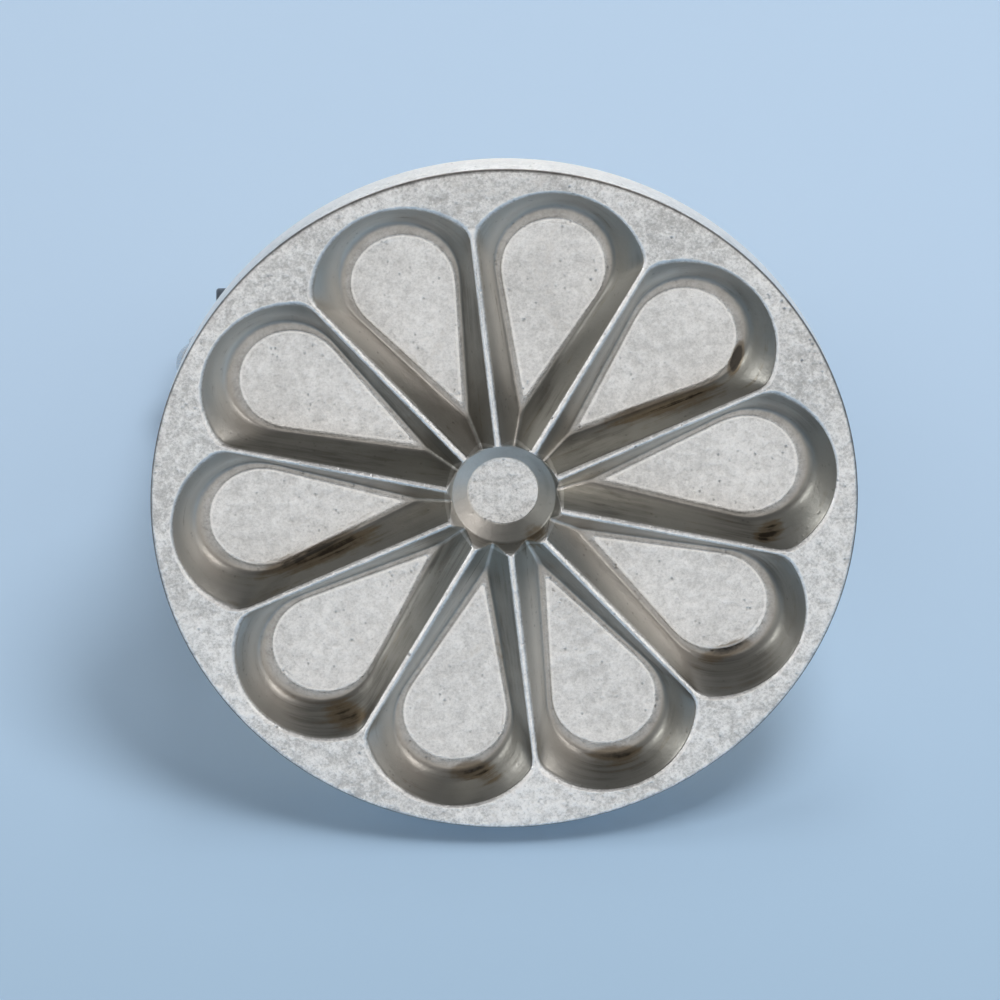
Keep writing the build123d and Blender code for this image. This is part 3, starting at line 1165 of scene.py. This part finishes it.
# %% The grip's shape
grip_radius = 14.0
grip_end_radius = 12.8
grip_straight = 28.0
bush_flange = 0.8
end_float = 0.1
leg_inner = leg_spacing / 2
grip_half = leg_inner - end_float - bush_flange
bush_bore = 5.05
core_bore = 4.0
bush_length = 10.0
half_line = rounded(
    [
        (0, grip_radius),
        (grip_straight, grip_radius),
        (grip_half, grip_end_radius),
        (grip_half, bush_bore),
        (grip_half - bush_length, bush_bore),
        (grip_half - bush_length, core_bore),
        (0, core_bore),
    ],
    [90.0, 2.0, 0.4, 0.1, 0.1],
    steps=10,
)
grip_line = half_line + [Vector((-p.x, p.y)) for p in reversed(half_line[1:-1])]
at_grip = Matrix.Translation((0, 0, -grip_distance))
grip = turned(grip_line, around=128, closed=True)
grip.transform(at_grip)
finish_piece("turned_grip_bar", grip, "turning_grip", "turned_wood", wood, "grip")

# %% [markdown]
# ## Brass and plated steel
# The bushes are turned brass and the fasteners are plated steel. Both are small, so their
# finish is plain: fine turning marks in the brass, a slight cloudiness in the plating,
# and rounded edges that catch the light, which is what makes small metal parts read.

# %% Brass, and plated steel
brass, tree, shader = new_material("brass", Metallic=1.0)
surface = use_surface(tree, blotch=300.0, grain=2500.0, pit=1500.0, share=0.15)
blotches = ramp_of(tree, surface["Blotches"], 0.3, 0.7)
colour = mix_of(tree, blotches, (0.76, 0.55, 0.24), (0.62, 0.41, 0.16))
rough = ramp_of(tree, surface["Grain"], 0.2, 0.8, 0.22, 0.36)
dress(tree, shader, colour, rough, (surface["Grain"], 0.00001))

steel, tree, shader = new_material("plated_steel", Metallic=1.0)
surface = use_surface(tree, blotch=260.0, grain=2200.0, pit=1300.0, share=0.2)
blotches = ramp_of(tree, surface["Blotches"], 0.3, 0.7)
colour = mix_of(tree, blotches, (0.70, 0.70, 0.69), (0.56, 0.56, 0.57))
pitted = value_of(tree, "MULTIPLY", surface["Pits"], 0.4)
colour = mix_of(tree, pitted, colour, (0.2, 0.19, 0.18))
rough = ramp_of(tree, surface["Grain"], 0.2, 0.8, 0.2, 0.34)
dress(tree, shader, colour, rough, (surface["Grain"], 0.00001))
for slot_place in frame["nodes"]["grip_rod"].material_slots:
    slot_place.material = steel

# %% Bushes and washers
rod_bore = 3.05
flange_radius = 8.0
washer_radius = 5.0
washer_thickness = 1.0
leg_outer = leg_inner + strap_thickness
nut_seat = leg_outer + washer_thickness
sides = (("left", -1), ("right", 1))


def closed_line(corners, radius):
    """A closed outline with every corner rounded by the same radius."""
    first = Vector(corners[0]).lerp(Vector(corners[-1]), 0.5)
    return rounded([first, *corners, first], [radius] * len(corners), steps=4)[:-1]


def ring_section(start, end, inner, outer, radius):
    """The rectangular section of a washer, with its corners rounded."""
    return closed_line([(start, inner), (start, outer), (end, outer), (end, inner)], radius)


def on_side(made, side):
    """Carries a piece drawn along +x to the grip's axis, mirrored for the left side."""
    if side < 0:
        made.transform(Matrix.Scale(-1, 4, (1, 0, 0)))
    made.transform(at_grip)
    return made


bush_line = closed_line(
    [
        (grip_half - bush_length, bush_bore),
        (grip_half, bush_bore),
        (grip_half, flange_radius),
        (grip_half + bush_flange, flange_radius),
        (grip_half + bush_flange, rod_bore),
        (grip_half - bush_length, rod_bore),
    ],
    0.2,
)
washer_line = ring_section(leg_outer, nut_seat, rod_hole, washer_radius, 0.18)
for name, side in sides:
    bush = on_side(turned(bush_line, closed=True), side)
    finish_piece(f"flanged_bush_{name}", bush, "turning_grip", "brass", brass, f"bushing_{name}")
    washer = on_side(turned(washer_line, closed=True), side)
    finish_piece(f"flat_washer_{name}", washer, "press", "plated_steel", steel, f"washer_{name}")

# %% [markdown]
# ## Cap nuts
# A cap nut is a hexagon and a turned shape at once: the lathe bevels the hexagon's
# corners and makes the dome. So each point's radius is the smaller of the two, rounded
# over where they meet, which gives the curved bevel line that every real nut has.

# %% The nuts
nut_flat = 4.0
nut_corner = nut_flat / math.cos(math.radians(30))
nut_bevel = nut_corner - nut_flat
nut_height = 3.4
dome_height = 2.1
thread_bore = 2.55
nut_end_wall = 1.6
corner_sharpness = 70
bevel_steps = 6
nut_side_steps = 10
dome_steps = 14
nut_top = nut_seat + nut_height
dome_radius = nut_flat - nut_bevel
dome_sphere = (dome_radius**2 + dome_height**2) / (2 * dome_height)
dome_middle = nut_top + dome_height - dome_sphere
dome_sweep = math.asin(dome_radius / dome_sphere)


def nut_radius(radius, angle):
    """The turned outline's radius, cut back to the hexagon outside the bore."""
    if radius <= thread_bore:
        return radius
    facing = [max(math.cos(angle - face * math.pi / 3), 0) for face in range(6)]
    total = sum(part**corner_sharpness for part in facing)
    return lower_of(radius, nut_flat / total ** (1 / corner_sharpness), 0.18)


def nut_line():
    """The nut's turned outline: the bore, the seat, both bevels and the dome."""
    bore_end = nut_top + dome_height - nut_end_wall
    seat_width = nut_flat - 0.15 - thread_bore
    side_height = nut_height - 2 * nut_bevel
    bevel = [nut_bevel * step / bevel_steps for step in range(bevel_steps + 1)]
    line = [(bore_end, 0), (bore_end, thread_bore), (nut_seat, thread_bore)]
    line += [(nut_seat, thread_bore + seat_width * step / 3) for step in (1, 2, 3)]
    line += [(nut_seat + part, nut_flat + part) for part in bevel]
    for step in range(1, nut_side_steps):
        side = nut_seat + nut_bevel + side_height * step / nut_side_steps
        line.append((side, nut_corner + 0.2))
    line += [(nut_top - part, nut_flat + part) for part in reversed(bevel)]
    line += [(nut_top + 0.02, nut_flat - 0.2), (nut_top + 0.03, dome_radius + 0.12)]
    for step in range(dome_steps + 1):
        turn = dome_sweep * (1 - step / dome_steps)
        line.append((dome_middle + dome_sphere * math.cos(turn), dome_sphere * math.sin(turn)))
    return line


for name, side in sides:
    nut = on_side(turned(nut_line(), around=144, shaped=nut_radius), side)
    finish_piece(f"domed_nut_{name}", nut, "press", "plated_steel", steel, f"cap_nut_{name}")

# %% [markdown]
# ## Screws and spring washers behind the plate
# The screws' pan heads carry a cross recess. It is cut with a boolean, from a cross with
# sloping sides, as the heading tool leaves it.

# %% The screws
screw_radius = 2.0
screw_head_radius = 4.0
screw_head_height = 2.6
screw_grip = 4.6
lock_radius = 3.6
lock_bore = 2.15
lock_thickness = 0.9
lock_gap = 0.5
lock_steps = 72
sharp_angle = math.radians(40)
strap_back = strap_front + strap_thickness
head_seat = strap_back + lock_thickness
head_top = head_seat + screw_head_height


def screw_blank():
    """The screw before its recess is struck."""
    shank_end = strap_front - screw_grip
    corners = [
        (-shank_end, 0),
        (-shank_end, screw_radius),
        (-head_seat, screw_radius),
        (-head_seat, screw_head_radius),
        (-head_top, screw_head_radius - 0.1),
        (-head_top, 0),
    ]
    made = turned(rounded(corners, [0.3, 0.15, 0.25, 1.1]))
    bmesh.ops.recalc_face_normals(made, faces=made.faces)
    return made


def cross_cutter():
    """A cross that narrows towards its bottom."""
    made = bmesh.new()
    for turn in (0, 90):
        turning = Matrix.Rotation(math.radians(turn), 3, "X")
        ends = []
        for depth, half_long, half_wide in ((0.5, 2.15, 0.52), (-1.5, 1.3, 0.3)):
            ring = []
            for x, y in ((-1, -1), (1, -1), (1, 1), (-1, 1)):
                corner = Vector((-head_top - depth, x * half_long, y * half_wide))
                ring.append(made.verts.new(turning @ corner))
            ends.append(ring)
        capped(made, ends)
    bmesh.ops.recalc_face_normals(made, faces=made.faces)
    return made


blank_object = add_object("screw_blank", plain_mesh("screw_blank", screw_blank()))
cutter_object = add_object("cross_cutter", plain_mesh("cross_cutter", cross_cutter()))
strike = blank_object.modifiers.new("recess", "BOOLEAN")
strike.operation = "DIFFERENCE"
strike.solver = "EXACT"
strike.use_self = True
strike.object = cutter_object
struck = plain_copy(blank_object)
bpy.data.objects.remove(cutter_object)
for name, side in sides:
    screw = bmesh.new()
    screw.from_mesh(struck)
    stand_up(screw, side * boss_spacing / 2)
    node_name = f"bracket_screw_{name}"
    made = finish_piece(f"pan_screw_{name}", screw, "press", "plated_steel", steel, node_name)
    made.data.set_sharp_from_angle(angle=sharp_angle)

# %% The spring washers, each a bar bent round with its ends nearly meeting
def spring_washer():
    """A rounded square bar swept almost all the way round."""
    section = ring_section(-strap_back, -head_seat, lock_bore, lock_radius, 0.12)
    gap = lock_gap * 2 / (lock_radius + lock_bore)
    made = bmesh.new()
    rings = []
    for step in range(lock_steps + 1):
        angle = gap / 2 + (2 * math.pi - gap) * step / lock_steps
        rings.append([made.verts.new((along, *polar(radius, angle))) for along, radius in section])
    return capped(made, rings)


for name, side in sides:
    lock = stand_up(spring_washer(), side * boss_spacing / 2)
    node_name = f"lock_washer_{name}"
    made = finish_piece(f"spring_washer_{name}", lock, "press", "plated_steel", steel, node_name)
    made.data.set_sharp_from_angle(angle=sharp_angle)

# %% [markdown]
# ## The table and the light
# The press lies on a pale blue sheet. The plate leans back by about 35 degrees from
# upright and the camera looks down on it, so its flats mirror what stands low in front
# of the press. Bare metal shows what it mirrors and the sheet shows what falls on it, so
# each gets lamps of its own: those of the first list are seen only in reflections, and
# those of the second light only what is dull, and cast the shadow.

# %% The floor
# The sheet is painted darker at the front and lighter towards the back, a painted fall of light across
# it
shaded_front_colour = (0.465, 0.65, 0.845)
lit_back_colour = (0.57, 0.745, 0.95)
reach = 3.0
corners = [(-reach, -reach, 0), (reach, -reach, 0), (reach, reach, 0), (-reach, reach, 0)]
floor_mesh = bpy.data.meshes.new("floor")
floor_mesh.from_pydata(corners, [], [(0, 1, 2, 3)])
floor = add_object("floor", floor_mesh)
sheet_blue, tree, shader = new_material("blue_sheet", Roughness=0.9, Specular_IOR_Level=0.1)
floor_place = node(tree, "ShaderNodeTexCoord").outputs["Object"]
floor_y = node(tree, "ShaderNodeSeparateXYZ", {0: floor_place}).outputs["Y"]
lit_towards_back = ramp_of(tree, floor_y, -0.1, 0.06)
feed(tree, shader.inputs["Base Color"], mix_of(tree, lit_towards_back, shaded_front_colour, lit_back_colour))
floor_mesh.materials.append(sheet_blue)

# %% The world and the lamps
world = bpy.data.worlds.new("studio")
bpy.context.scene.world = world
world.use_nodes = True
sky_tree = world.node_tree
direction = node(sky_tree, "ShaderNodeTexCoord").outputs["Generated"]
upwards = node(sky_tree, "ShaderNodeSeparateXYZ", {0: direction}).outputs["Z"]
upwards = ramp_of(sky_tree, upwards, 0.25, 0.85)
backdrop = sky_tree.nodes["Background"].inputs
feed(sky_tree, backdrop["Color"], mix_of(sky_tree, upwards, (0.96, 0.965, 0.97), (0.51, 0.51, 0.52)))
feed(sky_tree, backdrop["Strength"], 0.5)


def way_to(azimuth, elevation):
    """The direction from the press to a lamp or the camera, from its two angles."""
    level = math.cos(elevation)
    return Vector((math.sin(azimuth) * level, -math.cos(azimuth) * level, math.sin(elevation)))


def look_back(made, target, towards, distance):
    """Stands a lamp or the camera off from a target and turns it to look there."""
    made.location = target + towards * distance
    made.rotation_euler = towards.to_track_quat("Z", "Y").to_euler()


def soft_light(name, azimuth, elevation, distance, width, height, level, colour=(1, 1, 1)):
    """A rectangular lamp that looks at the press from a direction. Level 1 is paper white."""
    lamp = bpy.data.lights.new(name, "AREA")
    lamp.shape = "RECTANGLE"
    lamp.size = width
    lamp.size_y = height
    lamp.energy = level * math.pi * width * height
    lamp.color = colour
    made = add_object(name, lamp)
    look_back(made, face_middle, way_to(math.radians(azimuth), math.radians(elevation)), distance)
    made.visible_camera = False
    print(name, round(lamp.energy, 2), "W")
    return made


for light in (
    ("front_box", 8, 17, 1.2, 1.5, 0.5, 0.9, (1.0, 0.95, 0.88)),
    ("key_box", 66, 39, 1.2, 0.4, 0.4, 4.5),
    ("left_box", -82, 22, 1.2, 0.2, 0.2, 18.0),
    ("edge_box", -38, 26, 1.2, 0.14, 0.14, 8.0),
    ("low_left_strip", -36, 3, 1.2, 0.3, 0.1, 4.0),
    ("back_strip", 175, 14, 1.1, 1.4, 0.3, 3.3, (1.0, 0.95, 0.88)),
):
    soft_light(*light).visible_diffuse = False
for light in (
    ("table_light", 122, 72, 1.2, 0.4, 0.4, 12.0),
    ("table_fill", 175, 60, 1.2, 0.4, 0.4, 4.6),
):
    soft_light(*light).visible_glossy = False

# %% [markdown]
# ## The camera
# The photograph was taken from far off with a long lens: the near and far sides of the
# rim are almost the same size. The camera stands at the height that shows the plate
# 21.5 degrees off square, and it is aimed so that the middle of the face falls where it
# does in the photograph.

# %% The camera
camera_azimuth = math.radians(-1.0)
camera_elevation = face_tilt + math.radians(21.5)
camera_distance = 3.0
sensor = 36.0
view_width = 0.1552
middle_right = 4.3 / 1000 * view_width
middle_down = 1.5 / 1000 * view_width
towards = way_to(camera_azimuth, camera_elevation)
camera_right = Vector((math.cos(camera_azimuth), math.sin(camera_azimuth), 0))
camera_up = towards.cross(camera_right)
aim = face_middle - camera_right * middle_right + camera_up * middle_down
camera_data = bpy.data.cameras.new("camera")
camera_data.sensor_width = sensor
camera_data.lens = sensor * camera_distance / view_width
camera = add_object("camera", camera_data)
look_back(camera, aim, towards, camera_distance)
print("lens", round(camera_data.lens), "mm")
bpy.context.scene.camera = camera
bpy.context.scene.view_settings.view_transform = "Standard"
